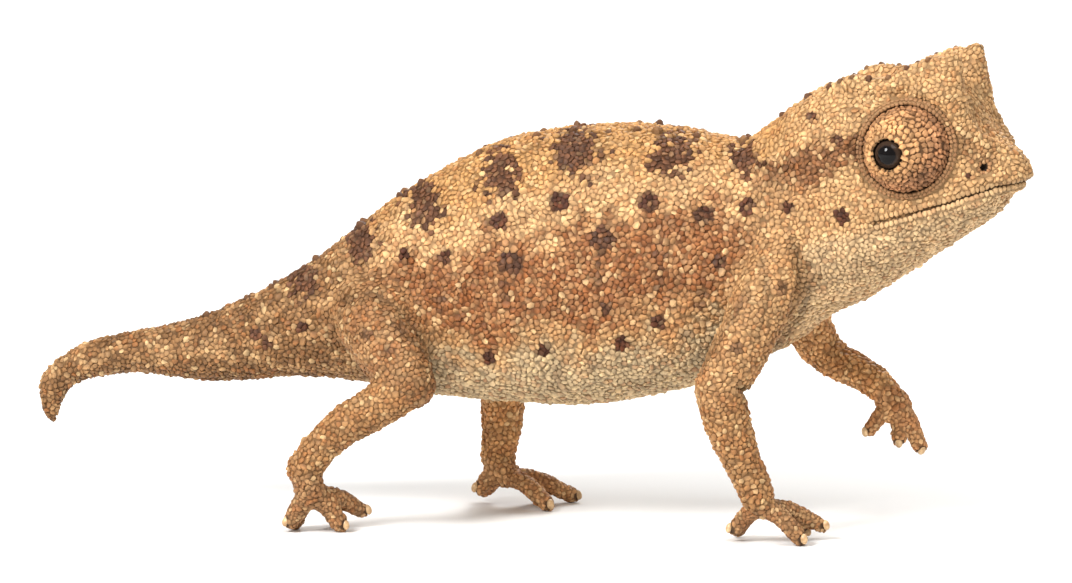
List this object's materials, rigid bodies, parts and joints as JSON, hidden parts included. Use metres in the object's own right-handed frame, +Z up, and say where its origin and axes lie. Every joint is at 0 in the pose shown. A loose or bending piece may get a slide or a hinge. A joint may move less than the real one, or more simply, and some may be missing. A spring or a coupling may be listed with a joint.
{
  "type": "nano chameleon, life-size still model",
  "caption": "Walking nano chameleon, life size and still, with brow cones, turret eyes, a plump body, a short hooked tail and a hand lifted in mid stride.",
  "frame": {"origin": "on the floor, under the middle of the box round the whole animal", "axes": "+X points from tail to snout, +Y to the animal's left, +Z up"},
  "size_m": [0.0277, 0.0077, 0.0136],
  "materials": {
    "skin": "pebbly dry skin, tan with dark brown blotches and a rusty flank",
    "limb_skin": "pebbly dry skin, tan brown",
    "eyelid": "fine scales in rings round the pupil",
    "claw": "horn, slightly glossy",
    "eye": "wet and glossy, black pupil in a dark brown iris"
  },
  "bodies": {
    "root": {"head": "skin", "neck": "skin", "torso": "skin", "tail_base": "skin", "tail_middle": "skin", "tail_tip": "skin", "right_upper_arm": "limb_skin", "right_forearm": "limb_skin", "right_hand": "limb_skin", "left_upper_arm": "limb_skin", "left_forearm": "limb_skin", "left_hand": "limb_skin", "right_thigh": "limb_skin", "right_shank": "limb_skin", "right_foot": "limb_skin", "left_thigh": "limb_skin", "left_shank": "limb_skin", "left_foot": "limb_skin", "right_eye_turret": "eyelid", "left_eye_turret": "eyelid", "right_eyeball": "eye", "left_eyeball": "eye"}
  },
  "joints": []
}
